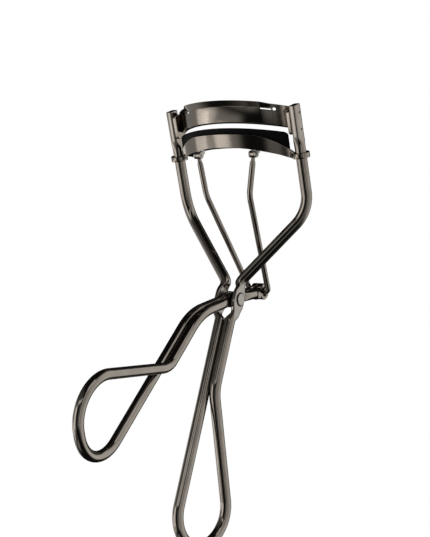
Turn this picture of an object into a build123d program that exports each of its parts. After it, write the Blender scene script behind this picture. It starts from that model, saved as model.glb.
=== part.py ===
from build123d import *
from math import atan, cos, degrees, radians, sin, sqrt
import os

# Eyelash curler: a bent wire frame with a fixed curved bar, a padded jaw that slides on the two
# guide posts, and a wire lever that drives the jaw through one long U-shaped push rod.
# Millimetres. X runs across the jaws, Z along the guide posts, and the handles lean towards -Y.
# The origin is the middle of the whole tool's box.

os.makedirs("parts", exist_ok=True)

# ---- Driving dimensions -------------------------------------------------------------------------

# Where the point midway between the posts, level with the collars, lies from the origin
post_line_y = 41.907
collar_level_z = 39.989

wire = 3.05                 # diameter of the frame's wire
lever_wire_size = 2.8
strand_x = 1.57             # half the distance between two strands that run side by side

# Guide posts and arms
post_x = 20.0
post_top = 14.06
post_corner = -15.5
post_corner_radius = 11.0
post_press_x = 2.0          # size of the pressed upper part of a post, across and along the jaw
post_press_y = 3.5
post_press_from = 5.4
post_press_corner = 0.5
post_press_blend = 1.8

# Pivot, and the ears that the frame's wire is flattened to there
pivot_y = -15.55
pivot_z = -36.42
stem_lean = 39.2            # from straight down towards -Y
ear_above = 5.15            # from the pivot up to the bend where an arm meets its ear
ear_below = 5.9
ear_bend_radius = 4.5
ear_top_x = 2.31
ear_foot_x = 1.60
ear_foot_radius = 12.0
ear_inside_x = 2.15
ear_thickness = 1.4
ear_width = 5.2
neck_from_pivot = 26.4

# Finger loops: each is a triangle with its apex at the neck and rounded corners
frame_loop_half_angle = 16.5
frame_loop_side = 43.6
frame_loop_radius = 8.9
frame_neck_radius = 9.0
lever_loop_half_angle = 22.3
lever_loop_side = 38.8
lever_loop_radius = 9.6
lever_neck_radius = 6.0
straight_bend_radius = 25.0

# Lever
lever_strand_x = 1.47
lever_flat_outside_x = 1.85
lever_hub = 4.2
lever_hub_reach = 5.6
lever_tip_y = 0.20
lever_tip_z = -39.90
lever_tip_eye = 4.7
lever_tip_hole = 2.8
lever_tip_flat = 5.2
lever_rise = 7.4            # slope of the lever behind the pivot, rising towards -Y
lever_bend_y = -32.5
lever_stem_slope = 24.9     # slope of its stem, falling towards -Y
lever_bend_radius = 18.0
lever_neck_y = -49.9

# Pivot pin
pin_diameter = 2.0
pin_clearance = 0.05
pin_head = 3.2
pin_head_height = 0.30

# Curves of the jaws, seen along the posts: all are arcs about one centre
jaw_radius = 25.0           # the line along which the bar's edge meets the pad
jaw_bulge = 6.0             # how far that line stands in front of the posts in the middle
jaw_slope = 0.50            # the jaws rise by this much for each millimetre towards -Y

# Upper bar
bar_thickness = 1.0
bar_bottom = 11.05          # height of its lower edge in the middle
bar_height = 6.0
bar_plate_y = 0.3           # ears that lie on the posts' inner faces
bar_plate_width = 3.9
bar_plate_bottom = 6.1
bar_plate_top = 12.7
bar_plate_corner = 0.8
rim_reach = 1.7             # rolled top edge: how far it stands out, thickness and half length
rim_thickness = 0.7
rim_half_x = 12.6
relief_hole = 1.0
relief_x = 14.4
relief_height = 14.2

# Rivets of the bar
rivet_diameter = 0.9
rivet_y = 0.45
rivet_heights = (7.2, 11.8)
rivet_recess = 0.08
fit_gap = 0.01              # between touching parts
overlap = 0.2               # how far joined shapes of one part run into each other

# Heights that lie below and above the whole jaw, for solids that are trimmed afterwards
below_jaw = -6.0
blank_height = 30.0

# Lower jaw: a front band that runs to the collars, and the trough behind it
band_outside = jaw_radius + 2.2
band_inside = jaw_radius + 1.6
band_top = 8.49             # heights of its edges in the middle
band_bottom = 4.81
band_shoulder_x = 9.5       # where its upper edge starts to fall towards the collars
band_fall = (14.4, 5.2)     # a point on that falling edge, and where it ends
band_fall_end_x = 18.5
band_foot = (15.5, 1.2)     # where its lower edge meets the feet of the collars
band_foot_end_x = 18.2
band_end_x = 20.4
trough_rear_inside = jaw_radius - 1.5
trough_rear = jaw_radius - 2.1
trough_floor_top = 6.4
trough_floor_bottom = 5.7
trough_top = 8.2
trough_half_x = 12.6
collar_inside = 3.24
collar_outside = 4.8
collar_height = 1.4
collar_level = 0.25         # height of the collars' middle

# Pad
pad_top = 10.65
pad_gap = 0.04
pad_half_x = 17.6
pad_end_from = 12.9         # outside the trough the pad reaches lower by
pad_end_drop = 1.7

# Brackets, hinge pins and push rod
bracket_x = 8.95
hinge_y = -6.20
hinge_z = 2.35
bracket_cheek = 0.5
bracket_gap = 1.2
bracket_round = 1.9
bracket_stem_y = -5.05      # middle and width of the cheeks where they rise behind the band
bracket_stem_width = 1.15
bracket_bridge = 0.9        # height of the bridge between the cheeks, and how far it clears the eye
bracket_bridge_gap = 0.15
hinge_pin = 0.9
hinge_pin_end = 0.15        # how far a pin stands out of its cheeks
rod = 1.6
rod_eye = 1.9
rod_eye_thickness = 1.05
rod_eye_hole = 1.0
rod_start = 1.7             # distance from the hinge to where the rod is round
rod_bend = (7.05, -8.35, -8.6)
rod_bend_radius = 7.0
rod_foot_x = 3.0
rod_foot_radius = 1.3


def spot(x, behind, above):
    """A point given from the middle between the posts, level with the collars."""
    return Vector(x, post_line_y + behind, collar_level_z + above)


def along(start, lean, distance):
    """The (y, z) point at a distance from start, leaning from straight down towards -Y."""
    return (start[0] - distance * sin(radians(lean)), start[1] - distance * cos(radians(lean)))


def side_plane(x, y=0.0, z=0.0):
    """A plane across X, whose own axes point along +Y and +Z."""
    return Plane(origin=spot(x, y, z), x_dir=(0, 1, 0), z_dir=(1, 0, 0))


def level_plane(above):
    return Plane(origin=spot(0, 0, above), x_dir=(1, 0, 0), z_dir=(0, 0, 1))


def jaw_plane(height, radius=jaw_radius):
    """The sloping plane that cuts the jaws at a height, taken in the middle at an arc's radius."""
    middle_y = arc_centre_y - radius
    return Plane(origin=spot(0, middle_y, height), x_dir=(1, 0, 0), z_dir=(0, jaw_slope, 1))


arc_centre_y = jaw_radius - jaw_bulge
pivot = (pivot_y, pivot_z)
frame_neck = along(pivot, stem_lean, neck_from_pivot)
ear_top = along(pivot, stem_lean, -ear_above)
ear_bottom = along(pivot, stem_lean, ear_below)
stem_tilt = (-stem_lean, 0, 0)

# ---- Frame wire ---------------------------------------------------------------------------------

frame_far_corner = along(frame_neck, stem_lean, frame_loop_side)
frame_near_corner = along(frame_neck, stem_lean - 2 * frame_loop_half_angle, frame_loop_side)

frame_route = [
    spot(post_x, 0, post_press_from - post_press_blend),
    spot(post_x, 0, post_corner),
    spot(ear_top_x, *ear_top),
    spot(ear_foot_x, *ear_bottom),
    spot(strand_x, *frame_neck),
    spot(strand_x, *frame_near_corner),
    spot(-strand_x, *frame_far_corner),
    spot(-strand_x, *frame_neck),
    spot(-ear_foot_x, *ear_bottom),
    spot(-ear_top_x, *ear_top),
    spot(-post_x, 0, post_corner),
    spot(-post_x, 0, post_press_from - post_press_blend),
]
frame_radii = [
    post_corner_radius,
    ear_bend_radius,
    ear_foot_radius,
    frame_neck_radius,
    frame_loop_radius,
    frame_loop_radius,
    straight_bend_radius,
    ear_foot_radius,
    ear_bend_radius,
    post_corner_radius,
]

with BuildPart() as frame_wire:
    with BuildLine() as frame_line:
        FilletPolyline(*frame_route, radius=frame_radii)
    with BuildSketch(Plane(frame_route[0], x_dir=(1, 0, 0), z_dir=(0, 0, -1))):
        Circle(wire / 2)
    sweep(path=frame_line.line)

    # The wire is pressed flat at the ears: the inner and outer sides go, the plate is added
    press_length = ear_above + ear_below - wire
    press_middle = along(pivot, stem_lean, (ear_below - ear_above) / 2)
    with Locations(Location(spot(0, *press_middle), stem_tilt)):
        Box(2 * ear_inside_x, 3 * wire, press_length, mode=Mode.SUBTRACT)
    ear_outside_x = ear_inside_x + ear_thickness
    for side in (-1, 1):
        with Locations(Location(spot(side * (ear_outside_x + wire / 2), *press_middle), stem_tilt)):
            Box(wire, 3 * wire, press_length, mode=Mode.SUBTRACT)
        ear_start = ear_inside_x if side > 0 else -ear_outside_x
        with BuildSketch(side_plane(ear_start)):
            with Locations(pivot):
                Circle(ear_width / 2)
            with Locations(along(pivot, stem_lean, -press_length / 2), ear_bottom):
                Circle(wire / 2)
            make_hull()
        extrude(amount=ear_thickness)
        with BuildSketch(side_plane(side * ear_inside_x)):
            with Locations(pivot):
                Circle(pin_diameter / 2)
        extrude(amount=2 * ear_thickness, both=True, mode=Mode.SUBTRACT)

    # The posts' upper parts are pressed to a narrow oval
    for side in (-1, 1):
        foot = spot(side * post_x, 0, post_press_from - post_press_blend)
        with BuildSketch(Plane(foot)):
            Circle(wire / 2)
        with BuildSketch(Plane(foot).offset(post_press_blend)):
            RectangleRounded(post_press_x, post_press_y, post_press_corner)
        loft()
        with BuildSketch(Plane(foot).offset(post_press_blend)):
            RectangleRounded(post_press_x, post_press_y, post_press_corner)
        extrude(amount=post_top - post_press_from)
    for side in (-1, 1):
        with BuildSketch(side_plane(side * post_x)):
            with Locations([(rivet_y, height) for height in rivet_heights]):
                Circle(rivet_diameter / 2)
        extrude(amount=post_press_x, both=True, mode=Mode.SUBTRACT)

frame_wire.part.label = "frame_wire"
export_step(frame_wire.part, "parts/frame_wire.step")

# ---- Upper bar ----------------------------------------------------------------------------------


def ring_sector(inner, outer, half_x):
    """A band between two arcs about the jaws' centre, cut off at half_x on both sides."""
    with Locations((0, arc_centre_y)):
        Circle(outer)
        Circle(inner, mode=Mode.SUBTRACT)
    with Locations((0, arc_centre_y - jaw_radius)):
        Rectangle(2 * half_x, jaw_radius, mode=Mode.INTERSECT)


post_face_x = post_x - post_press_x / 2
bar_plate_height = bar_plate_top - bar_plate_bottom
plate_face_x = post_face_x - fit_gap - bar_thickness

with BuildPart() as bar_rim:
    with BuildSketch(level_plane(0)):
        ring_sector(jaw_radius, jaw_radius + rim_reach, rim_half_x)
    extrude(amount=blank_height)
    split(bisect_by=jaw_plane(bar_bottom + bar_height - rim_thickness), keep=Keep.TOP)
    split(bisect_by=jaw_plane(bar_bottom + bar_height), keep=Keep.BOTTOM)

with BuildPart() as upper_bar:
    with BuildSketch(level_plane(0)):
        half_thickness = bar_thickness / 2
        ring_sector(jaw_radius - half_thickness, jaw_radius + half_thickness, plate_face_x + overlap)
    extrude(amount=blank_height)
    # The wall is cut by two sloping planes
    split(bisect_by=jaw_plane(bar_bottom), keep=Keep.TOP)
    split(bisect_by=jaw_plane(bar_bottom + bar_height), keep=Keep.BOTTOM)
    add(bar_rim.part)
    for side in (-1, 1):
        with BuildSketch(side_plane(side * (plate_face_x + bar_thickness / 2))):
            with Locations((bar_plate_y, (bar_plate_bottom + bar_plate_top) / 2)):
                RectangleRounded(bar_plate_width, bar_plate_height, bar_plate_corner)
        extrude(amount=bar_thickness / 2, both=True)
        # A round relief hole where the rolled edge stops
        with Locations(Location(spot(side * relief_x, 0, relief_height), (90, 0, 0))):
            Cylinder(relief_hole / 2, jaw_radius, mode=Mode.SUBTRACT)
        with BuildSketch(side_plane(side * plate_face_x)):
            with Locations([(rivet_y, height) for height in rivet_heights]):
                Circle(rivet_diameter / 2)
        extrude(amount=2 * bar_thickness, both=True, mode=Mode.SUBTRACT)

upper_bar.part.label = "upper_bar"
export_step(upper_bar.part, "parts/upper_bar.step")

# ---- Rivets of the bar --------------------------------------------------------------------------

with BuildPart() as bar_rivets:
    shaft_end = post_x + post_press_x / 2 - rivet_recess
    for side in (-1, 1):
        with BuildSketch(side_plane(side * (plate_face_x + rivet_recess))):
            with Locations([(rivet_y, height) for height in rivet_heights]):
                Circle(rivet_diameter / 2 - fit_gap)
        extrude(amount=side * (shaft_end - plate_face_x - rivet_recess))

bar_rivets.part.label = "bar_rivets"
export_step(bar_rivets.part, "parts/bar_rivets.step")

# ---- Lower jaw ----------------------------------------------------------------------------------


def arc_y(radius, x):
    return arc_centre_y - sqrt(radius**2 - x**2)


def edge_height(middle_height, x):
    """Height of a sloping edge of the band at x, when it is middle_height at x = 0."""
    return middle_height - jaw_slope * (arc_y(band_outside, x) - arc_y(band_outside, 0))


collar_top = collar_level + collar_height / 2
collar_bottom = collar_level - collar_height / 2

with BuildPart() as front_band:
    with BuildSketch(level_plane(below_jaw)):
        ring_sector(band_inside, band_outside, band_end_x)
    extrude(amount=blank_height)
    with BuildSketch(Plane(spot(0, -jaw_radius, 0), x_dir=(1, 0, 0), z_dir=(0, -1, 0))):
        with BuildLine():
            shoulder = (band_shoulder_x, edge_height(band_top, band_shoulder_x))
            ThreePointArc((-shoulder[0], shoulder[1]), (0, band_top), shoulder)
            ThreePointArc(shoulder, band_fall, (band_fall_end_x, collar_top))
            Polyline(
                (band_fall_end_x, collar_top),
                (band_end_x, collar_top),
                (band_end_x, collar_bottom),
                (band_foot_end_x, collar_bottom),
                band_foot,
            )
            ThreePointArc(band_foot, (0, band_bottom), (-band_foot[0], band_foot[1]))
            Polyline(
                (-band_foot[0], band_foot[1]),
                (-band_foot_end_x, collar_bottom),
                (-band_end_x, collar_bottom),
                (-band_end_x, collar_top),
                (-band_fall_end_x, collar_top),
            )
            ThreePointArc(
                (-band_fall_end_x, collar_top),
                (-band_fall[0], band_fall[1]),
                (-shoulder[0], shoulder[1]),
            )
        make_face()
    extrude(amount=-2 * jaw_radius, mode=Mode.INTERSECT)

with BuildPart() as trough_space:
    with BuildSketch(level_plane(below_jaw)):
        ring_sector(trough_rear_inside, band_outside, 2 * trough_half_x)
    extrude(amount=blank_height)
    split(bisect_by=jaw_plane(trough_floor_top, band_outside), keep=Keep.TOP)

with BuildPart() as lower_jaw:
    with BuildSketch(level_plane(below_jaw)):
        ring_sector(trough_rear, band_inside + overlap, trough_half_x)
    extrude(amount=blank_height)
    split(bisect_by=jaw_plane(trough_floor_bottom, band_outside), keep=Keep.TOP)
    split(bisect_by=jaw_plane(trough_top, band_outside), keep=Keep.BOTTOM)
    add(trough_space.part, mode=Mode.SUBTRACT)
    add(front_band.part)
    with BuildSketch(level_plane(collar_bottom)):
        with Locations((-post_x, 0), (post_x, 0)):
            Circle(collar_outside / 2)
    extrude(amount=collar_height)
    with BuildSketch(level_plane(below_jaw)):
        with Locations((-post_x, 0), (post_x, 0)):
            Circle(collar_inside / 2)
    extrude(amount=blank_height, mode=Mode.SUBTRACT)

lower_jaw.part.label = "lower_jaw"
export_step(lower_jaw.part, "parts/lower_jaw.step")

# ---- Pad ----------------------------------------------------------------------------------------

with BuildPart() as pad_ends:
    with BuildSketch(level_plane(below_jaw)):
        ring_sector(trough_rear_inside + pad_gap, band_inside - pad_gap, pad_half_x)
        Rectangle(2 * pad_end_from, 4 * jaw_radius, mode=Mode.SUBTRACT)
    extrude(amount=blank_height)
    split(bisect_by=jaw_plane(trough_floor_top - pad_end_drop, band_outside), keep=Keep.TOP)
    split(bisect_by=jaw_plane(trough_top, band_outside), keep=Keep.BOTTOM)

with BuildPart() as jaw_pad:
    with BuildSketch(level_plane(below_jaw)):
        ring_sector(trough_rear_inside + pad_gap, band_inside - pad_gap, pad_half_x)
    extrude(amount=blank_height)
    split(bisect_by=jaw_plane(trough_floor_top + pad_gap, band_outside), keep=Keep.TOP)
    split(bisect_by=jaw_plane(pad_top, band_outside), keep=Keep.BOTTOM)
    add(pad_ends.part)

jaw_pad.part.label = "jaw_pad"
export_step(jaw_pad.part, "parts/jaw_pad.step")

# ---- Brackets and hinge pins --------------------------------------------------------------------

with BuildPart() as rod_brackets:
    stem_rise = trough_floor_bottom - hinge_z
    bridge_z = hinge_z + rod_eye / 2 + bracket_bridge_gap + bracket_bridge / 2
    for side in (-1, 1):
        for cheek in (-1, 1):
            cheek_x = side * bracket_x + cheek * (bracket_gap + bracket_cheek) / 2
            with BuildSketch(side_plane(cheek_x)):
                with Locations((hinge_y, hinge_z)):
                    Circle(bracket_round / 2)
                with Locations((bracket_stem_y, hinge_z + stem_rise / 2)):
                    Rectangle(bracket_stem_width, stem_rise)
            extrude(amount=bracket_cheek / 2, both=True)
        # The bridge that joins the cheeks under the trough
        with BuildSketch(side_plane(side * bracket_x)):
            with Locations((bracket_stem_y, bridge_z)):
                Rectangle(bracket_stem_width, bracket_bridge)
        extrude(amount=bracket_gap / 2 + bracket_cheek / 2, both=True)
        with BuildSketch(side_plane(side * bracket_x)):
            with Locations((hinge_y, hinge_z)):
                Circle(hinge_pin / 2)
        extrude(amount=bracket_gap + bracket_cheek, both=True, mode=Mode.SUBTRACT)
    split(bisect_by=jaw_plane(trough_floor_bottom - fit_gap, band_outside), keep=Keep.BOTTOM)

rod_brackets.part.label = "rod_brackets"
export_step(rod_brackets.part, "parts/rod_brackets.step")

with BuildPart() as rod_hinge_pins:
    for side in (-1, 1):
        with BuildSketch(side_plane(side * bracket_x)):
            with Locations((hinge_y, hinge_z)):
                Circle(hinge_pin / 2 - fit_gap)
        extrude(amount=bracket_gap / 2 + bracket_cheek + hinge_pin_end, both=True)

rod_hinge_pins.part.label = "rod_hinge_pins"
export_step(rod_hinge_pins.part, "parts/rod_hinge_pins.step")

# ---- Push rod -----------------------------------------------------------------------------------

hinge = Vector(bracket_x, hinge_y, hinge_z)
rod_top = hinge + (Vector(*rod_bend) - hinge).normalized() * rod_start
rod_route = [
    spot(rod_top.X, rod_top.Y, rod_top.Z),
    spot(*rod_bend),
    spot(rod_foot_x, lever_tip_y, lever_tip_z),
    spot(-rod_foot_x, lever_tip_y, lever_tip_z),
    spot(-rod_bend[0], rod_bend[1], rod_bend[2]),
    spot(-rod_top.X, rod_top.Y, rod_top.Z),
]
rod_radii = [rod_bend_radius, rod_foot_radius, rod_foot_radius, rod_bend_radius]

with BuildPart() as push_rod:
    with BuildLine() as rod_line:
        FilletPolyline(*rod_route, radius=rod_radii)
    with BuildSketch(Plane(rod_route[0], z_dir=rod_line.line % 0)):
        Circle(rod / 2)
    sweep(path=rod_line.line)
    for side in (-1, 1):
        with BuildSketch(side_plane(side * bracket_x)):
            with Locations((hinge_y, hinge_z)):
                Circle(rod_eye / 2)
            with Locations((rod_top.Y, rod_top.Z - overlap)):
                Circle(rod / 2 - fit_gap)
            make_hull()
        extrude(amount=rod_eye_thickness / 2, both=True)
        with BuildSketch(side_plane(side * bracket_x)):
            with Locations((hinge_y, hinge_z)):
                Circle(rod_eye_hole / 2)
        extrude(amount=rod_eye_thickness, both=True, mode=Mode.SUBTRACT)

push_rod.part.label = "push_rod"
export_step(push_rod.part, "parts/push_rod.step")

# ---- Lever --------------------------------------------------------------------------------------

lever_bend = (lever_bend_y, pivot_z + (pivot_y - lever_bend_y) * sin(radians(lever_rise)))
stem_fall = sin(radians(lever_stem_slope)) / cos(radians(lever_stem_slope))
lever_neck = (lever_neck_y, lever_bend[1] - (lever_bend_y - lever_neck_y) * stem_fall)
lever_lean = 90 - lever_stem_slope
lever_far_corner = along(lever_neck, lever_lean, lever_loop_side)
lever_near_corner = along(lever_neck, lever_lean + 2 * lever_loop_half_angle, lever_loop_side)
lever_tip = (lever_tip_y, lever_tip_z)
front_slope = degrees(atan((pivot_z - lever_tip_z) / (lever_tip_y - pivot_y)))
front_lean = 90 - front_slope

lever_route = [
    spot(lever_strand_x, *lever_tip),
    spot(lever_strand_x, *pivot),
    spot(lever_strand_x, *lever_bend),
    spot(lever_strand_x, *lever_neck),
    spot(lever_strand_x, *lever_near_corner),
    spot(-lever_strand_x, *lever_far_corner),
    spot(-lever_strand_x, *lever_bend),
    spot(-lever_strand_x, *pivot),
    spot(-lever_strand_x, *lever_tip),
]
lever_radii = [
    straight_bend_radius,
    lever_bend_radius,
    lever_neck_radius,
    lever_loop_radius,
    lever_loop_radius,
    lever_bend_radius,
    straight_bend_radius,
]

with BuildPart() as lever_wire:
    with BuildLine() as lever_line:
        FilletPolyline(*lever_route, radius=lever_radii)
    with BuildSketch(Plane(lever_route[0], x_dir=(1, 0, 0), z_dir=lever_line.line % 0)):
        Circle(lever_wire_size / 2)
    sweep(path=lever_line.line)

    hub_back = (pivot_y - lever_hub_reach, pivot_z + lever_hub_reach * sin(radians(lever_rise)))
    hub_front = along(pivot, -front_lean, lever_hub_reach)
    tip_back = along(lever_tip, -front_lean, -lever_tip_flat)
    for side in (-1, 1):
        # Pressed flat on the outside at the hub and at the tip
        with Locations(Location(spot(side * (lever_flat_outside_x + lever_wire_size / 2), *pivot))):
            Box(lever_wire_size, 2 * lever_hub_reach, 3 * lever_wire_size, mode=Mode.SUBTRACT)
        with Locations(Location(spot(side * (lever_flat_outside_x + lever_wire_size / 2), *lever_tip))):
            Box(lever_wire_size, 2 * lever_tip_flat, 4 * lever_wire_size, mode=Mode.SUBTRACT)
        inside = lever_strand_x - lever_wire_size / 2
        flat_start = inside if side > 0 else -lever_flat_outside_x
        with BuildSketch(side_plane(flat_start)):
            with Locations(pivot):
                Circle(lever_hub / 2)
            with Locations(hub_back, hub_front):
                Circle(lever_wire_size / 2)
            make_hull()
        extrude(amount=lever_flat_outside_x - inside)
        with BuildSketch(side_plane(flat_start)):
            with Locations(lever_tip):
                Circle(lever_tip_eye / 2)
            with Locations(tip_back):
                Circle(lever_wire_size / 2)
            make_hull()
        extrude(amount=lever_flat_outside_x - inside)
    with BuildSketch(side_plane(0)):
        with Locations(pivot):
            Circle(pin_diameter / 2 + pin_clearance)
        with Locations(lever_tip):
            Circle(lever_tip_hole / 2)
    extrude(amount=2 * lever_wire_size, both=True, mode=Mode.SUBTRACT)

lever_wire.part.label = "lever_wire"
export_step(lever_wire.part, "parts/lever_wire.step")

# ---- Pivot pin ----------------------------------------------------------------------------------

with BuildPart() as pivot_pin:
    with BuildSketch(side_plane(0)):
        with Locations(pivot):
            Circle(pin_diameter / 2 - fit_gap)
    extrude(amount=ear_outside_x, both=True)
    for side in (-1, 1):
        with BuildSketch(side_plane(side * ear_outside_x)):
            with Locations(pivot):
                Circle(pin_head / 2)
        extrude(amount=side * pin_head_height)

pivot_pin.part.label = "pivot_pin"
export_step(pivot_pin.part, "parts/pivot_pin.step")
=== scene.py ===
# %% [markdown]
# # An eyelash curler in polished dark metal
# The tool is two bent wires, a stamped bar, a sliding jaw with a soft pad and one thin push rod.
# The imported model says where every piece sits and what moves. This script gives the pieces their
# final shapes and finishes. Each cell builds one thing and prints what it made.

# %% Load the fixed frame
import bpy
import math
from mathutils import Matrix, Vector


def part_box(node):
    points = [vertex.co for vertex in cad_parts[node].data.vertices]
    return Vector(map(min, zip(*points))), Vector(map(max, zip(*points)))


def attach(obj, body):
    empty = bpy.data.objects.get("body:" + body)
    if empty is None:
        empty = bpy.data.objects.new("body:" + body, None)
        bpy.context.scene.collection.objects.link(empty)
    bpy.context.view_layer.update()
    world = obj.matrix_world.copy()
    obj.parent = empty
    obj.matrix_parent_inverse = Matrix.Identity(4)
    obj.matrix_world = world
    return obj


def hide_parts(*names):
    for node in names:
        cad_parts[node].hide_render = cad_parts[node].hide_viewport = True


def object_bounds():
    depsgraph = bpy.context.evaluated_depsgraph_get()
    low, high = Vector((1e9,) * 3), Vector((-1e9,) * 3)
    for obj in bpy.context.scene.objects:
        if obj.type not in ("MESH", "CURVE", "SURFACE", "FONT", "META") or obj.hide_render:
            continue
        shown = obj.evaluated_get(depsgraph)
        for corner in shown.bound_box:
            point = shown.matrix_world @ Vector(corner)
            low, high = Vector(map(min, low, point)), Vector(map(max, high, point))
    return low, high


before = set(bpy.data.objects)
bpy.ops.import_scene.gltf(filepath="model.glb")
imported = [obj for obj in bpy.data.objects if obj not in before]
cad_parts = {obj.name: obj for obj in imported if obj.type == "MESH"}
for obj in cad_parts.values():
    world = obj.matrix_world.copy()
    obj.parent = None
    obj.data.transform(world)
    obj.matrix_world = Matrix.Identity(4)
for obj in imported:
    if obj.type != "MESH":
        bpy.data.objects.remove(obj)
cad_low, cad_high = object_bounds()
MM = 0.001
print("CAD box, mm:", [round(v / MM, 1) for v in (*cad_low, *cad_high)])

# %% [markdown]
# ## The tool's own coordinates
# Every length below is in millimetres from the point midway between the guide posts, level with
# the collars: x across the jaws, y towards the back, z up along the posts. One function turns that
# into the shared frame. The pivot is the one point that is looked up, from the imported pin's box, so
# the script follows the model if it is moved.

# %% Find the post line
pin_low, pin_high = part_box("pivot_pin")
pivot = (-15.55, -36.42)
origin_y = (pin_low.y + pin_high.y) / 2 / MM - pivot[0]
origin_z = (pin_low.z + pin_high.z) / 2 / MM - pivot[1]


def at(x, y, z):
    """A point of the tool, in millimetres, as a vector in the frame's metres."""
    return Vector((x, y + origin_y, z + origin_z)) * MM


print("post line at", round(origin_y, 3), "mm, collar level at", round(origin_z, 3), "mm")

# %% [markdown]
# ## Camera
# The tool is seen from its right, a little above, with the camera rolled so that the posts lean.
# A long lens keeps the perspective mild.

# %% Place the camera
view_azimuth, view_elevation, view_roll = (math.radians(v) for v in (34.80, 16.85, -9.36))
camera_spot = at(173.31, -269.50, 66.10)
camera_lens = 78.16

towards = Vector((
    math.sin(view_azimuth) * math.cos(view_elevation),
    -math.cos(view_azimuth) * math.cos(view_elevation),
    math.sin(view_elevation),
))
level_right = Vector((math.cos(view_azimuth), math.sin(view_azimuth), 0))
level_up = towards.cross(level_right)
view_right = level_right * math.cos(view_roll) + level_up * math.sin(view_roll)
view_up = level_up * math.cos(view_roll) - level_right * math.sin(view_roll)

camera_data = bpy.data.cameras.new("camera")
camera_data.lens = camera_lens
camera_data.clip_start, camera_data.clip_end = 0.01, 10
camera = bpy.data.objects.new("camera", camera_data)
turn = Matrix((view_right, view_up, towards)).transposed()
camera.matrix_world = Matrix.Translation(camera_spot) @ turn.to_4x4()
bpy.context.scene.collection.objects.link(camera)
bpy.context.scene.camera = camera
print("camera at", [round(v, 3) for v in camera.location])

# %% [markdown]
# ## Shader maths as plain expressions
# A socket can't be added or multiplied in Python. This small class wraps one and overloads the
# operators, so that `1 - mask` makes its own Math node.

# %% A socket that can be calculated with


class Sock:
    def __init__(self, tree, socket):
        self.tree = tree
        self.socket = socket

    def math(self, operation, first, second):
        made = self.tree.nodes.new("ShaderNodeMath")
        made.operation = operation
        feed(self.tree, made.inputs[0], first)
        feed(self.tree, made.inputs[1], second)
        return Sock(self.tree, made.outputs[0])

    def __add__(self, other):
        return self.math("ADD", self, other)

    def __radd__(self, other):
        return self.math("ADD", other, self)

    def __sub__(self, other):
        return self.math("SUBTRACT", self, other)

    def __rsub__(self, other):
        return self.math("SUBTRACT", other, self)

    def __mul__(self, other):
        return self.math("MULTIPLY", self, other)

    def __rmul__(self, other):
        return self.math("MULTIPLY", other, self)


def feed(tree, socket, value):
    """Links a calculated value to a socket, or sets a plain one on it."""
    if isinstance(value, Sock):
        tree.links.new(value.socket, socket)
    else:
        socket.default_value = value


def add_node(tree, kind, out=0, settings=None, **inputs):
    """Adds a shader node, sets its settings, gives its inputs values or links, returns one output."""
    made = tree.nodes.new("ShaderNode" + kind)
    for name, value in (settings or {}).items():
        setattr(made, name, value)
    for name, value in inputs.items():
        key = int(name[3:]) if name.startswith("in_") else name.replace("_", " ")
        feed(tree, made.inputs[key], value)
    return Sock(tree, made.outputs[out])


# %% [markdown]
# ## Studio light
# Polished metal shows its surroundings, so the room matters more than the lamps. It is a world
# shader that depends only on the direction in the fixed frame. A wide wall at the right grows
# brighter towards the back, and a bright strip stands just in front of it. A dimmer wall stands low
# at the left, with narrow bright strips in it. Behind the viewer it is nearly dark, with a faint glow
# and one strip high up. Together they draw each wire as pale, black and grey stripes. The room seen
# behind the tool is plain white.

# %% Build the room
world = bpy.data.worlds.new("studio")
world.use_nodes = True
room = world.node_tree
room.nodes.clear()
direction = add_node(room, "TexCoord", out=0)


def component(axis):
    return add_node(
        room, "VectorMath", out=1, settings={"operation": "DOT_PRODUCT"}, in_0=direction, in_1=tuple(axis)
    )


def fade(value, low, high):
    """0 below low and 1 above high, with a smooth step between; the other way round if low > high."""
    return add_node(
        value.tree, "MapRange", settings={"interpolation_type": "SMOOTHSTEP"},
        Value=value, From_Min=low, From_Max=high, To_Min=0.0, To_Max=1.0,
    )


side = component(view_right)
height = component(view_up)
front = component(towards)
bearing = side.math("ARCTAN2", side, front) * (180 / math.pi)


def panel(start, end, soft):
    """A panel between two bearings from the viewer, positive to the right, in degrees."""
    return fade(bearing, start - soft, start + soft) * fade(bearing, end + soft, end - soft)


def band(low, high, soft):
    """A level band between two heights, from -1 straight down to 1 straight up."""
    return fade(height, low - soft, low + soft) * fade(height, high + soft, high - soft)


right_wall = panel(32, 128, 7) * band(-0.60, 0.72, 0.16) * (0.28 + 0.82 * fade(bearing, 0, 118))
left_wall = panel(-150, -42, 8) * band(-0.70, 0.24, 0.08) * 0.42
left_strip = panel(-104, -84, 6) * band(-0.66, -0.36, 0.08) * 0.9
front_left_strip = panel(-78, -56, 4) * band(-0.50, 0.30, 0.08) * 1.5
far_left_strip = panel(-152, -138, 4) * band(-0.45, 0.10, 0.08) * 1.3
upper_left = panel(-115, -18, 10) * band(0.26, 0.76, 0.12) * 0.12
low_front = panel(-100, -20, 12) * band(-0.98, -0.80, 0.06) * 0.36
front_strip = panel(21, 29, 3) * band(-0.55, 0.66, 0.10) * 1.3
front_glow = panel(-6, 12, 5) * band(-0.55, 0.20, 0.12) * 0.28
upper_strip = panel(-60, 4, 8) * band(0.36, 0.50, 0.05) * 0.9
strength = 0.012 + right_wall + left_wall + left_strip + front_left_strip + far_left_strip
strength = strength + upper_left + low_front + front_strip + front_glow + upper_strip
seen = add_node(room, "LightPath", out=0)
background = add_node(room, "Background", Color=(0.985, 1.0, 0.975, 1), Strength=strength)
backdrop = add_node(room, "Background", Color=(1, 1, 1, 1), Strength=1.0)
both = add_node(room, "MixShader", in_0=seen, in_1=background, in_2=backdrop)
world_out = room.nodes.new("ShaderNodeOutputWorld")
room.links.new(both.socket, world_out.inputs["Surface"])
bpy.context.scene.world = world
bpy.context.scene.view_settings.view_transform = "Standard"
print("room nodes:", len(room.nodes))

# %% Add two soft lamps for the pad and the edges
body_centre = (cad_low + cad_high) / 2


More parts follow.
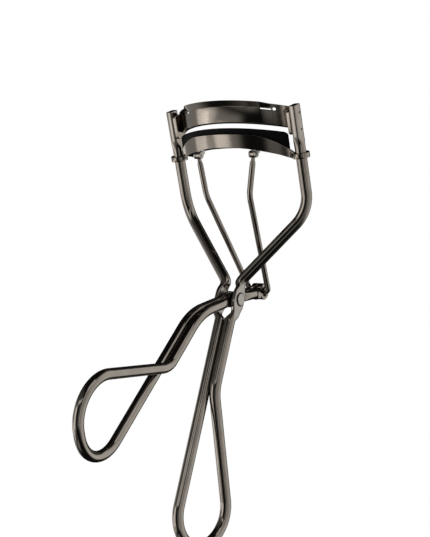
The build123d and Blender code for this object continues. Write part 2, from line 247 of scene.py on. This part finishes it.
def soft_lamp(name, bearing_deg, rise_deg, size, power, distance=0.6):
    lamp = bpy.data.lights.new(name, "AREA")
    lamp.size = size
    lamp.energy = power
    turn_by = math.radians(bearing_deg)
    rise = math.radians(rise_deg)
    way = (towards * math.cos(turn_by) + view_right * math.sin(turn_by)) * math.cos(rise)
    way = way + Vector((0, 0, 1)) * math.sin(rise)
    lamp_object = bpy.data.objects.new(name, lamp)
    lamp_object.location = body_centre + way * distance
    lamp_object.rotation_mode = "QUATERNION"
    lamp_object.rotation_quaternion = way.to_track_quat("Z", "Y")
    lamp_object.visible_camera = False
    bpy.context.scene.collection.objects.link(lamp_object)


soft_lamp("left_soft", -98, -20, 0.20, 0.15)
soft_lamp("top_soft", 60, 50, 0.30, 0.20)

# %% [markdown]
# ## Floor
# A plain white sheet lies under the tool. Only the camera sees it, so the metal isn't lit from
# below by it.

# %% Lay the floor
floor_mesh = bpy.data.meshes.new("floor")
reach = 3.0
floor_z = cad_low.z - 0.0005
floor_mesh.from_pydata(
    [(x, y, floor_z) for x, y in ((-reach, -reach), (reach, -reach), (reach, reach), (-reach, reach))],
    [], [(0, 1, 2, 3)],
)
floor = bpy.data.objects.new("floor", floor_mesh)
bpy.context.scene.collection.objects.link(floor)
white = bpy.data.materials.new("white_floor")
white.use_nodes = True
white.node_tree.nodes.clear()
glow = add_node(white.node_tree, "Emission", Color=(1, 1, 1, 1), Strength=1.0)
floor_out = white.node_tree.nodes.new("ShaderNodeOutputMaterial")
white.node_tree.links.new(glow.socket, floor_out.inputs["Surface"])
floor_mesh.materials.append(white)
for ray in ("visible_glossy", "visible_diffuse", "visible_shadow", "visible_transmission"):
    setattr(floor, ray, False)

# %% [markdown]
# ## Finishes
# All the metal is one dark nickel plating. On the wires it is polished, with faint drawing lines
# along them and tiny ripples. On the bar and the jaw the strip was brushed lengthways first, so
# the reflections spread across those lines. The rubber is matte with a fine grain.

# %% A base for every finish


def finish(name, metallic, base):
    """A new material and its Principled node, with a place to work from."""
    material = bpy.data.materials.new(name)
    material.use_nodes = True
    tree = material.node_tree
    tree.nodes.clear()
    shader = tree.nodes.new("ShaderNodeBsdfPrincipled")
    shader.inputs["Metallic"].default_value = metallic
    shader.inputs["Base Color"].default_value = (*base, 1)
    out = tree.nodes.new("ShaderNodeOutputMaterial")
    tree.links.new(shader.outputs[0], out.inputs["Surface"])
    return material, tree, shader


def place(tree, stretch):
    """The piece's own coordinates, squeezed or stretched along each axis."""
    spot = add_node(tree, "TexCoord", out=3)
    return add_node(tree, "VectorMath", settings={"operation": "MULTIPLY"}, in_0=spot, in_1=stretch)


def noise(tree, vector, scale, detail=3.0, rough=0.5):
    return add_node(tree, "TexNoise", Vector=vector, Scale=scale, Detail=detail, Roughness=rough)


def mix_colour(tree, factor, first, second):
    made = tree.nodes.new("ShaderNodeMix")
    made.data_type = "RGBA"
    feed(tree, made.inputs[0], factor)
    feed(tree, made.inputs[6], (*first, 1))
    feed(tree, made.inputs[7], (*second, 1))
    return Sock(tree, made.outputs[2])


def bump(tree, height, strength, distance):
    return add_node(tree, "Bump", Height=height, Strength=strength, Distance=distance)


# %% Polished dark nickel for the wires
nickel_light = (0.300, 0.264, 0.234)
nickel_dark = (0.245, 0.213, 0.188)

polished, tree, shader = finish("polished_nickel", 1.0, nickel_light)
clouds = noise(tree, place(tree, (1, 1, 1)), 160, 4)
specks = noise(tree, place(tree, (1, 1, 1)), 2600, 2)
drawn = noise(tree, place(tree, (1, 0.35, 0.25)), 1500, 3)
feed(tree, shader.inputs["Base Color"], mix_colour(tree, fade(clouds, 0.3, 0.75), nickel_light, nickel_dark))
feed(tree, shader.inputs["Roughness"], 0.075 + 0.035 * fade(drawn, 0.35, 0.75) + 0.02 * specks)
feed(tree, shader.inputs["Normal"], bump(tree, drawn * 0.2 + clouds * 0.8, 0.04, 0.00002))

# %% Brushed dark nickel for the bar and the jaw
brushed, tree, shader = finish("brushed_nickel", 1.0, nickel_light)
lines = noise(tree, place(tree, (0.06, 0.06, 1)), 9000, 5, 0.6)
clouds = noise(tree, place(tree, (1, 1, 1)), 220, 3)
feed(tree, shader.inputs["Base Color"],
     mix_colour(tree, 0.6 * fade(lines, 0.3, 0.7) + 0.4 * clouds, (0.31, 0.268, 0.232), (0.23, 0.197, 0.170)))
feed(tree, shader.inputs["Roughness"], 0.085 + 0.06 * fade(lines, 0.3, 0.75) + 0.02 * clouds)
feed(tree, shader.inputs["Normal"], bump(tree, lines, 0.12, 0.00001))
shader.inputs["Anisotropic"].default_value = 0.35

# %% Satin nickel for the pressed ears and the pins
satin, tree, shader = finish("satin_nickel", 1.0, nickel_light)
grain = noise(tree, place(tree, (1, 1, 1)), 3200, 4)
clouds = noise(tree, place(tree, (1, 1, 1)), 300, 3)
feed(tree, shader.inputs["Base Color"], mix_colour(tree, clouds, (0.42, 0.392, 0.360), (0.31, 0.285, 0.262)))
feed(tree, shader.inputs["Roughness"], 0.26 + 0.12 * fade(grain, 0.3, 0.7))
feed(tree, shader.inputs["Normal"], bump(tree, grain, 0.12, 0.00003))

# %% Matte black rubber for the pad
rubber, tree, shader = finish("black_rubber", 0.0, (0.004, 0.004, 0.0045))
grain = noise(tree, place(tree, (1, 1, 1)), 2400, 4)
dust = noise(tree, place(tree, (1, 1, 1)), 420, 2)
feed(tree, shader.inputs["Base Color"],
     mix_colour(tree, fade(dust, 0.5, 0.9), (0.0030, 0.0030, 0.0034), (0.0075, 0.0075, 0.0080)))
feed(tree, shader.inputs["Roughness"], 0.62 + 0.14 * fade(grain, 0.35, 0.7))
feed(tree, shader.inputs["Normal"], bump(tree, grain, 0.35, 0.00005))
shader.inputs["Specular IOR Level"].default_value = 0.12

# %% Metal darkened with painted shade, for the sunk rivets and the ring round the pivot rivet
# The near-black base colour is painted shade, not the rivets' own nickel colour.
shaded, tree, shader = finish("rivet_metal_painted_shade", 1.0, (0.05, 0.045, 0.04))
grain = noise(tree, place(tree, (1, 1, 1)), 3000, 3)
feed(tree, shader.inputs["Roughness"], 0.35 + 0.2 * grain)
print("materials:", len(bpy.data.materials))

# %% [markdown]
# ## Wires
# A bent wire is a round section carried along a route whose corners are rounded. A curve object
# could do that, but here the section changes on its way: it is pressed flat at the ears and at the
# tops of the posts. So the mesh is made ring by ring. Each ring is a superellipse, which turns from
# a circle into a flat bar with round edges by its exponent.

# %% Rounded routes


def rounded_route(corners, radii, step=0.45):
    """Points along straight runs and tangent arcs, with a radius for each inner corner."""
    points = [Vector(corners[0])]
    for index, radius in enumerate(radii):
        before, corner, after = (Vector(corners[index + k]) for k in range(3))
        go_in = (before - corner).normalized()
        go_out = (after - corner).normalized()
        half = go_in.angle(go_out) / 2
        tangent = radius / math.tan(half)
        start = corner + go_in * tangent
        end = corner + go_out * tangent
        centre = corner + (go_in + go_out).normalized() * (radius / math.sin(half))
        sweep = math.pi - 2 * half
        count = max(2, math.ceil(radius * sweep / step))
        first, last = start - centre, end - centre
        axis = first.cross(last).normalized()
        points.append(start)
        for k in range(1, count):
            points.append(centre + Matrix.Rotation(sweep * k / count, 3, axis) @ first)
        points.append(end)
    points.append(Vector(corners[-1]))
    dense = [points[0]]
    for point in points[1:]:
        gap = point - dense[-1]
        pieces = max(1, math.ceil(gap.length / step))
        start = dense[-1]
        dense.extend(start + gap * (k / pieces) for k in range(1, pieces + 1))
    return dense


def smooth_step(value, low, high):
    t = min(1.0, max(0.0, (value - low) / (high - low)))
    return t * t * (3 - 2 * t)


# %% Rings along a route


def superellipse(angle, half_wide, half_tall, power):
    c, s = math.cos(angle), math.sin(angle)
    return (
        half_wide * math.copysign(abs(c) ** (2 / power), c),
        half_tall * math.copysign(abs(s) ** (2 / power), s),
    )


def wire_mesh(name, route, section, sides=32, across=None, cap=0.25):
    """A closed tube; section(point) gives half width, half height, power and shift across.

    With across given, the width of every ring lies as near to that direction as it can.
    Otherwise the rings don't twist from one to the next.
    """
    verts, faces = [], []
    tangents = []
    for k, point in enumerate(route):
        ahead = route[min(k + 1, len(route) - 1)] - route[max(k - 1, 0)]
        tangents.append(ahead.normalized())
    wide = tangents[0].orthogonal().normalized()
    rings = []
    for point, tangent in zip(route, tangents):
        if across:
            wide = Vector(across)
        wide = (wide - tangent * wide.dot(tangent)).normalized()
        tall = tangent.cross(wide)
        rings.append((point, tangent, wide.copy(), tall, section(point)))

    def add_ring(ring, scale, back):
        point, tangent, wide, tall, (half_wide, half_tall, power, shift) = ring
        base = point + tangent * back + wide * shift
        for s in range(sides):
            a = 2 * math.pi * s / sides
            u, v = superellipse(a, half_wide, half_tall, power)
            p = base + wide * (u - math.copysign(min(abs(u), scale), u)) + tall * (
                v - math.copysign(min(abs(v), scale), v)
            )
            verts.append(at(*p))

    quarter = [(cap * (1 - math.sin(a)), cap * (1 - math.cos(a))) for a in (0.0, 0.4, 0.8, 1.2, math.pi / 2)]
    order = [(rings[0], inset, set_in) for inset, set_in in quarter]
    order += [(ring, 0.0, 0.0) for ring in rings[1:-1]]
    order += [(rings[-1], inset, -set_in) for inset, set_in in reversed(quarter)]
    for ring, inset, back in order:
        add_ring(ring, inset, back)
    total = len(order)
    for r in range(total - 1):
        for s in range(sides):
            n = (s + 1) % sides
            faces.append((r * sides + s, r * sides + n, (r + 1) * sides + n, (r + 1) * sides + s))
    faces.append(tuple(reversed(range(sides))))
    faces.append(tuple((total - 1) * sides + s for s in range(sides)))
    mesh = bpy.data.meshes.new(name)
    mesh.from_pydata(verts, [], faces)
    mesh.validate()
    return mesh


def link_piece(name, mesh, material, body, node=None):
    """Puts a mesh in the scene as a piece of the tool, smooth except where its faces meet sharply."""
    piece = bpy.data.objects.new(name, mesh)
    bpy.context.scene.collection.objects.link(piece)
    if not mesh.materials:
        mesh.materials.append(material)
    mesh.shade_smooth()
    mesh.set_sharp_from_angle(angle=math.radians(38))
    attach(piece, body)
    if node:
        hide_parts(*([node] if isinstance(node, str) else node))
    print(name, "faces:", len(mesh.polygons))


def along(start, lean_deg, distance):
    """The (y, z) point at a distance from start, leaning from straight down towards -y."""
    lean = math.radians(lean_deg)
    return (start[0] - distance * math.sin(lean), start[1] - distance * math.cos(lean))


# %% [markdown]
# ## Frame wire
# One wire makes both posts, both arms, the two flat ears at the pivot, the stem and the lower
# finger loop. The loop's two ends cross from one strand to the other, so the wire stays one piece.

# %% Route of the frame wire
wire_radius = 3.05 / 2
strand_x = 1.57
post_x = 20.0
post_top = 14.06
post_corner = -15.5
stem_lean = 39.2
ear_above, ear_below = 5.15, 5.9
ear_thickness, ear_width, ear_inside_x = 1.4, 5.2, 2.15
ear_top_x, ear_foot_x = 2.31, 1.60
neck = along(pivot, stem_lean, 26.4)
ear_top = along(pivot, stem_lean, -ear_above)
ear_foot = along(pivot, stem_lean, ear_below)
loop_half_angle, loop_side = 16.5, 43.6
far_corner = along(neck, stem_lean, loop_side)
near_corner = along(neck, stem_lean - 2 * loop_half_angle, loop_side)

frame_corners = [
    (post_x, 0, post_top), (post_x, 0, post_corner), (ear_top_x, *ear_top), (ear_foot_x, *ear_foot),
    (strand_x, *neck), (strand_x, *near_corner), (-strand_x, *far_corner), (-strand_x, *neck),
    (-ear_foot_x, *ear_foot), (-ear_top_x, *ear_top), (-post_x, 0, post_corner), (-post_x, 0, post_top),
]
frame_route = rounded_route(frame_corners, [11.0, 4.5, 12.0, 9.0, 8.9, 8.9, 25.0, 12.0, 4.5, 11.0])

# %% Sections of the frame wire
stem_way = Vector((0, -math.sin(math.radians(stem_lean)), -math.cos(math.radians(stem_lean))))
pivot_point = Vector((0, *pivot))
round_power = 2.0
press_start, press_end = 3.4, 5.6           # heights between which a post turns from round to pressed
press_half_x, press_half_y = 1.0, 1.75
press_power, ear_power = 3.4, 2.6           # added to the exponent where the wire is flat
ear_swell_length = 3.1


def frame_section(point):
    half_wide = half_tall = wire_radius
    power, shift = round_power, 0.0
    # The posts' upper parts are pressed narrow
    press = smooth_step(point.z, press_start, press_end)
    half_wide += (press_half_x - wire_radius) * press
    half_tall += (press_half_y - wire_radius) * press
    power += press_power * press
    # The ears are pressed flat around the pivot
    down = (point - pivot_point).dot(stem_way)
    if abs(point.x) < 4.5 and point.z < -25:
        flat = smooth_step(down, -ear_above + 0.2, -ear_above + 2.2) * (
            1 - smooth_step(down, ear_below - 1.9, ear_below + 0.3))
        swell = math.exp(-((down / ear_swell_length) ** 4))
        half_wide += (ear_thickness / 2 - half_wide) * flat
        half_tall += (ear_width / 2 - half_tall) * swell * flat
        power += ear_power * flat
        middle = math.copysign(ear_inside_x + ear_thickness / 2, point.x)
        shift = (middle - point.x) * flat
    return half_wide, half_tall, power, shift


frame_mesh = wire_mesh("frame_bent_wire", frame_route, frame_section, across=(1, 0, 0))
for face in frame_mesh.polygons:
    beside_pivot = (face.center - at(0, *pivot)).length < 6.5 * MM
    if beside_pivot and abs(face.normal.x) > 0.9:
        face.material_index = 1
link_piece("frame_bent_wire", frame_mesh, polished, "frame", "frame_wire")
frame_mesh.materials.append(satin)

# %% [markdown]
# ## Lever wire
# The second wire lies doubled between the ears. It is pressed flat on its outside at the pivot and
# at its front tips, and the tips end in eyes that hold the push rod's foot.

# %% Route and sections of the lever wire
lever_radius = 2.8 / 2
lever_strand_x = 1.47
lever_flat_x = 1.85
lever_tip = (0.20, -39.90)
lever_rise, lever_stem_slope = 7.4, 24.9
bend_y, lever_neck_y = -32.5, -49.9
lever_bend = (bend_y, pivot[1] + (pivot[0] - bend_y) * math.sin(math.radians(lever_rise)))
stem_drop = (bend_y - lever_neck_y) * math.tan(math.radians(lever_stem_slope))
lever_neck = (lever_neck_y, lever_bend[1] - stem_drop)
lever_lean = 90 - lever_stem_slope
lever_loop_half_angle, lever_loop_side = 22.3, 38.8
lever_far = along(lever_neck, lever_lean, lever_loop_side)
lever_near = along(lever_neck, lever_lean + 2 * lever_loop_half_angle, lever_loop_side)
front_way = Vector((0, lever_tip[0] - pivot[0], lever_tip[1] - pivot[1])).normalized()
tip_point = Vector((0, *lever_tip))
eye_outside, eye_hole = 4.7 / 2, 2.8 / 2
tip_stop = tip_point - front_way * ((eye_outside + eye_hole) / 2)

lever_corners = [
    (lever_strand_x, tip_stop.y, tip_stop.z), (lever_strand_x, *pivot), (lever_strand_x, *lever_bend),
    (lever_strand_x, *lever_neck), (lever_strand_x, *lever_near), (-lever_strand_x, *lever_far),
    (-lever_strand_x, *lever_bend), (-lever_strand_x, *pivot), (-lever_strand_x, tip_stop.y, tip_stop.z),
]
lever_route = rounded_route(lever_corners, [25.0, 18.0, 6.0, 9.6, 9.6, 18.0, 25.0])
hub_length, hub_core_length, hub_half_tall = 4.6, 2.6, 2.1
tip_start, tip_end, tip_growth, lever_power = 10.4, 12.4, 0.5, 1.8


def lever_section(point):
    half_wide = half_tall = lever_radius
    power, shift = round_power, 0.0
    ahead = (point - pivot_point).dot(front_way)
    if point.y > -24:
        hub = math.exp(-((ahead / hub_length) ** 4))
        tip = smooth_step(ahead, tip_start, tip_end)
        flat = max(hub, tip)
        inside = lever_strand_x - lever_radius
        half_wide += ((lever_flat_x - inside) / 2 - half_wide) * flat
        core = math.exp(-((ahead / hub_core_length) ** 4))
        half_tall += (hub_half_tall - half_tall) * core + tip_growth * tip
        power += lever_power * flat
        middle = math.copysign((lever_flat_x + inside) / 2, point.x)
        shift = (middle - point.x) * flat
    return half_wide, half_tall, power, shift


lever_mesh = wire_mesh("lever_bent_wire", lever_route, lever_section, across=(1, 0, 0), cap=0.1)

# %% Eyes: flat rings with rounded edges


def ring_verts(x_from, x_to, centre, hole, outside, soften=0.15, steps=48):
    """Vertices and faces of a flat ring about a line along x."""
    rim = [(hole + soften, x_from), (hole, x_from + soften), (hole, x_to - soften), (hole + soften, x_to),
           (outside - soften, x_to), (outside, x_to - soften), (outside, x_from + soften),
           (outside - soften, x_from)]
    verts, faces = [], []
    for k in range(steps):
        a = 2 * math.pi * k / steps
        for radius, x in rim:
            verts.append(at(x, centre[0] + radius * math.cos(a), centre[1] + radius * math.sin(a)))
    count = len(rim)
    for k in range(steps):
        for r in range(count):
            n, m = (k + 1) % steps, (r + 1) % count
            faces.append((k * count + r, n * count + r, n * count + m, k * count + m))
    return verts, faces


def add_to_mesh(mesh, verts, faces):
    """Joins more vertices and faces to a mesh."""
    old_verts = [tuple(v.co) for v in mesh.vertices]
    old_faces = [tuple(p.vertices) for p in mesh.polygons]
    start = len(old_verts)
    mesh.clear_geometry()
    mesh.from_pydata(old_verts + list(verts), [], old_faces + [tuple(i + start for i in f) for f in faces])
    mesh.validate()


inside_x = lever_strand_x - lever_radius
for x_from, x_to in ((inside_x, lever_flat_x), (-lever_flat_x, -inside_x)):
    add_to_mesh(lever_mesh, *ring_verts(x_from, x_to, lever_tip, eye_hole, eye_outside))
link_piece("lever_bent_wire", lever_mesh, polished, "lever", "lever_wire")

# %% [markdown]
# ## Push rod
# A thin wire bent to a long U. Its foot passes through the lever's eyes, and each leg ends in a
# small eye that hangs on a pin under the jaw.

# %% Push rod
bracket_x, hinge_y, hinge_z = 8.95, -6.20, 2.35
rod_radius, rod_pressed_in = 0.8, 0.40
rod_bend = Vector((7.05, -8.35, -8.6))
rod_foot_x = 3.0
hinge = Vector((bracket_x, hinge_y, hinge_z))
rod_top = hinge + (rod_bend - hinge).normalized() * 0.8
rod_corners = [rod_top, rod_bend, (rod_foot_x, *lever_tip), (-rod_foot_x, *lever_tip),
               (-rod_bend.x, rod_bend.y, rod_bend.z), (-rod_top.x, rod_top.y, rod_top.z)]
rod_route = rounded_route([tuple(c) for c in rod_corners], [7.0, 1.3, 1.3, 7.0])


def rod_section(point):
    """Round, and pressed narrow where the rod enters the gap between a bracket's cheeks."""
    flat = smooth_step(point.z, hinge_z - 2.6, hinge_z - 1.3)
    return rod_radius - rod_pressed_in * flat, rod_radius, round_power, 0.0


rod_mesh = wire_mesh("push_rod_wire", rod_route, rod_section, sides=24, across=(1, 0, 0), cap=0.2)
rod_eye_x, rod_eye_hole, rod_eye_outside = 1.05 / 2, 0.5, 0.98
for x_middle in (bracket_x, -bracket_x):
    x_from, x_to = x_middle - rod_eye_x, x_middle + rod_eye_x
    rod_eye = ring_verts(x_from, x_to, (hinge_y, hinge_z), rod_eye_hole, rod_eye_outside, 0.1, 32)
    add_to_mesh(rod_mesh, *rod_eye)
link_piece("push_rod_wire", rod_mesh, polished, "rod", "push_rod")

# %% [markdown]
# ## Upper bar
# The bar is one stamped strip, curved to the eye's socket. Its top edge is rolled outwards so that
# it doesn't cut, and the roll runs out before the ends, at a small relief slit on each side. The
# mesh is a grid: an outline of the section, carried round the arc, with the roll's reach as a
# function of the place along it.

# %% The jaws' curve
jaw_radius, jaw_bulge, jaw_slope = 25.0, 6.0, 0.50
band_outside = jaw_radius + 2.2
arc_centre_y = jaw_radius - jaw_bulge


def on_jaw(turn_angle, outward, height_in_middle, plane_radius):
    """A point at an angle round the jaws' arc. Heights follow the plane that slopes up to -y."""
    radius = jaw_radius + outward
    x = radius * math.sin(turn_angle)
    y = arc_centre_y - radius * math.cos(turn_angle)
    z = height_in_middle - jaw_slope * (y - (arc_centre_y - plane_radius))
    return Vector((x, y, z))


def arc_strip(name, outline, half_x, plane_radius, columns=121):
    """Carries an outline(x) of (outward, height) pairs round the arc between -half_x and half_x."""
    verts, faces = [], []
    for c in range(columns):
        x = half_x * (2 * c / (columns - 1) - 1)
        turn_angle = math.asin(x / jaw_radius)
        ring = [on_jaw(turn_angle, outward, h, plane_radius) for outward, h in outline(x)]
        verts.extend(at(*p) for p in ring)
        count = len(ring)
    for c in range(columns - 1):
        for r in range(count):
            m = (r + 1) % count
            faces.append((c * count + r, c * count + m, (c + 1) * count + m, (c + 1) * count + r))
    faces.append(tuple(reversed(range(count))))
    faces.append(tuple((columns - 1) * count + r for r in range(count)))
    mesh = bpy.data.meshes.new(name)
    mesh.from_pydata(verts, [], faces)
    mesh.validate()
    return mesh


def round_corner(corner, start_angle, end_angle, radius, count=5):
    """Points of an arc about a centre, in the section's plane."""
    return [
        (corner[0] + radius * math.cos(math.radians(start_angle + (end_angle - start_angle) * k / count)),
         corner[1] + radius * math.sin(math.radians(start_angle + (end_angle - start_angle) * k / count)))
        for k in range(count + 1)
    ]


# %% Outline of the bar
bar_bottom, bar_height, bar_half = 11.05, 6.0, 0.5
edge_round = 0.22
roll_reach, roll_crown, roll_drop = 1.10, 0.16, 1.45
roll_fades_from, roll_fades_to, least_drop = 11.2, 14.0, 0.05
bar_top = bar_bottom + bar_height


def bar_outline(x):
    """The section at x: a wall whose top edge turns outwards and back, by the roll's share there."""
    roll = 1 - smooth_step(abs(x), roll_fades_from, roll_fades_to)
    reach = bar_half + roll_reach * roll
    crown = edge_round + (roll_crown - edge_round) * roll
    drop = least_drop + (roll_drop - least_drop) * roll
    widest = bar_top - crown
    outline = round_corner((bar_half - edge_round, bar_bottom + edge_round), 0, -90, edge_round)
    outline += round_corner((-bar_half + edge_round, bar_bottom + edge_round), -90, -180, edge_round)
    outline += round_corner((-bar_half + edge_round, bar_top - edge_round), 180, 90, edge_round)
    for k in range(1, 9):
        a = math.radians(90 - 90 * k / 8)
        outline.append((reach * math.cos(a), widest + crown * math.sin(a)))
    for k in range(1, 10):
        share = (k / 9) ** 1.5
        outline.append((bar_half + (reach - bar_half) * (1 - share), widest - drop * share))
    return outline


bar_mesh = arc_strip("clamp_bar_strip", bar_outline, 18.3, jaw_radius)

# %% Relief slits at the ends of the roll


def cut_through(mesh, cutters):
    """The mesh with the cutters' volumes removed, as a new mesh."""
    holder = bpy.data.objects.new("holder", mesh)
    bpy.context.scene.collection.objects.link(holder)
    tools = []
    for cutter in cutters:
        tool = bpy.data.objects.new("cutter", cutter)
        bpy.context.scene.collection.objects.link(tool)
        cut = holder.modifiers.new("cut", "BOOLEAN")
        cut.operation = "DIFFERENCE"
        cut.solver = "EXACT"
        cut.object = tool
        tools.append(tool)
    bpy.context.view_layer.update()
    result = bpy.data.meshes.new_from_object(holder.evaluated_get(bpy.context.evaluated_depsgraph_get()))
    for spare in (holder, *tools):
        bpy.data.objects.remove(spare)
    return result


def slit_cutter(x_middle, half_length, half_height, drop):
    """A capsule-shaped prism that points straight out of the bar's wall."""
    turn_angle = math.asin(x_middle / jaw_radius)
    outward = Vector((math.sin(turn_angle), -math.cos(turn_angle), 0))
    tangent = Vector((math.cos(turn_angle), math.sin(turn_angle), 0))
    fall = -jaw_slope * math.sin(turn_angle)
    middle = on_jaw(turn_angle, 0, bar_top - drop, jaw_radius)
    outline = []
    for k in range(24):
        a = 2 * math.pi * k / 24
        run = (half_length - half_height) * (1 if math.cos(a) > 0 else -1) + half_height * math.cos(a)
        outline.append((run, half_height * math.sin(a) + fall * run))
    verts = [at(*(middle + outward * depth + tangent * run + Vector((0, 0, rise))))
             for depth in (-1.5, 3.0) for run, rise in outline]
    faces = [(k, (k + 1) % 24, 24 + (k + 1) % 24, 24 + k) for k in range(24)]
    faces += [tuple(reversed(range(24))), tuple(range(24, 48))]
    cutter = bpy.data.meshes.new("slit")
    cutter.from_pydata(verts, [], faces)
    return cutter


slit_x, slit_end_x = 12.6, 14.5
slits = []
for way in (-1, 1):
    slits.append(slit_cutter(way * slit_x, 1.5, 0.26, 1.55))
    slits.append(slit_cutter(way * slit_end_x, 0.5, 0.48, 1.35))
bar_mesh = cut_through(bar_mesh, slits)
print("bar wall faces:", len(bar_mesh.polygons))

# %% Ears of the bar


def rounded_plate(x_from, x_to, y_middle, z_from, z_to, width, corner, soften=0.15):
    """Vertices and faces of a plate across x, with rounded corners and softened rims."""
    outline = []
    half_y = width / 2
    corners = ((half_y, z_to, 0), (-half_y, z_to, 90), (-half_y, z_from, 180), (half_y, z_from, 270))
    for cy, cz, start in corners:
        sy, sz = math.copysign(corner, cy), (corner if cz == z_to else -corner)
        for k in range(7):
            a = math.radians(start + 15 * k)
            outline.append((y_middle + cy - sy, cz - sz, math.cos(a), math.sin(a)))
    inset = corner - soften
    layers = [(x_from, inset), (x_from + soften, corner), (x_to - soften, corner), (x_to, inset)]
    verts, faces, count = [], [], len(outline)
    for x, radius in layers:
        verts.extend(at(x, y + radius * c, z + radius * s) for y, z, c, s in outline)
    for r in range(len(layers) - 1):
        for k in range(count):
            n = (k + 1) % count
            faces.append((r * count + k, r * count + n, (r + 1) * count + n, (r + 1) * count + k))
    faces.append(tuple(reversed(range(count))))
    faces.append(tuple((len(layers) - 1) * count + k for k in range(count)))
    return verts, faces


ear_in, ear_out = 17.99, 18.99
ear_middle_y, ear_bottom_z, ear_top_z, bar_ear_width, bar_ear_corner = 0.3, 6.1, 12.7, 3.9, 0.8
for x_from, x_to in ((ear_in, ear_out), (-ear_out, -ear_in)):
    add_to_mesh(bar_mesh, *rounded_plate(
        x_from, x_to, ear_middle_y, ear_bottom_z, ear_top_z, bar_ear_width, bar_ear_corner))
link_piece("clamp_bar_strip", bar_mesh, brushed, "frame", "upper_bar")

# %% Sunk rivets in the posts, darkened with painted shade
rivet_mesh = bpy.data.meshes.new("sunk_rivets")
# Each rivet is a thin disc of the darkened metal; its dark colour is painted shade of its sink.
for x_from, x_to in ((20.5, 21.02), (-21.02, -20.5)):
    for rivet_z in (7.2, 11.8):
        add_to_mesh(rivet_mesh, *ring_verts(x_from, x_to, (0.45, rivet_z), 0.02, 0.34, 0.01, 24))
link_piece("sunk_rivets", rivet_mesh, shaded, "frame", "bar_rivets")

# %% Painted shade round the pivot rivet's head
# A thin flat ring of darkened metal on each ear paints the shade round the rivet head; no groove is cut.
shade_ring_mesh = bpy.data.meshes.new("rivet_shade_ring")
ear_face_x = ear_inside_x + ear_thickness
for x_from, x_to in ((ear_face_x - 0.1, ear_face_x + 0.04), (-ear_face_x - 0.04, -ear_face_x + 0.1)):
    add_to_mesh(shade_ring_mesh, *ring_verts(x_from, x_to, pivot, 1.50, 2.00, 0.02, 40))
link_piece("rivet_shade_ring", shade_ring_mesh, shaded, "frame", None)

# %% [markdown]
# ## Pad
# The pad is a moulded rubber strip pressed into the jaw's channel. Its top is slightly crowned and
# its edges are round, so the lashes bend over a soft corner.

# %% Pad
pad_floor, pad_top = 6.46, 10.65
pad_in, pad_out = -1.44, 1.54
pad_round = 0.45
pad_half_x, pad_crown = 16.5, 0.12
pad_end_fall, pad_end_drop = 0.5, 1.7       # how far the ends' top sinks and their underside hangs


def pad_outline(x):
    top = pad_top - pad_end_fall * smooth_step(abs(x), 15.7, 16.6) ** 2
    pad_bottom = pad_floor - pad_end_drop * smooth_step(abs(x), 12.6, 15.5)
    outline = round_corner((pad_out - 0.1, pad_bottom + 0.1), 0, -90, 0.1, 2)
    outline += round_corner((pad_in + 0.1, pad_bottom + 0.1), -90, -180, 0.1, 2)
    outline += round_corner((pad_in + pad_round, top - pad_crown - pad_round), 180, 100, pad_round, 5)
    outline += [(0.05, top)]
    outline += round_corner((pad_out - pad_round, top - pad_crown - pad_round), 80, 0, pad_round, 5)
    return outline


pad_mesh = arc_strip("rubber_pad", pad_outline, pad_half_x, band_outside)
link_piece("rubber_pad", pad_mesh, rubber, "jaw", "jaw_pad")

# %% [markdown]
# ## Pieces that keep their CAD shape
# The jaw's channel, its brackets, the small pins and the pivot rivet are already right. They get
# their finish, and three modifiers that join the vertices, round the sharp edges and even out the
# shading, so that each edge catches the light.

# %% Soften and finish the CAD pieces


def soften(node_name, material, width, angle=30):
    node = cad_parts[node_name]
    node.data.materials.clear()
    node.data.materials.append(material)
    weld = node.modifiers.new("join", "WELD")
    weld.merge_threshold = 0.002 * MM
    bevel = node.modifiers.new("round", "BEVEL")
    bevel.width = width * MM
    bevel.segments = 3
    bevel.limit_method = "ANGLE"
    bevel.angle_limit = math.radians(angle)
    bevel.harden_normals = False
    node.modifiers.new("even", "WEIGHTED_NORMAL").keep_sharp = True


soften("lower_jaw", brushed, 0.14)
soften("rod_brackets", satin, 0.08)
soften("rod_hinge_pins", satin, 0.06)
soften("pivot_pin", satin, 0.10)
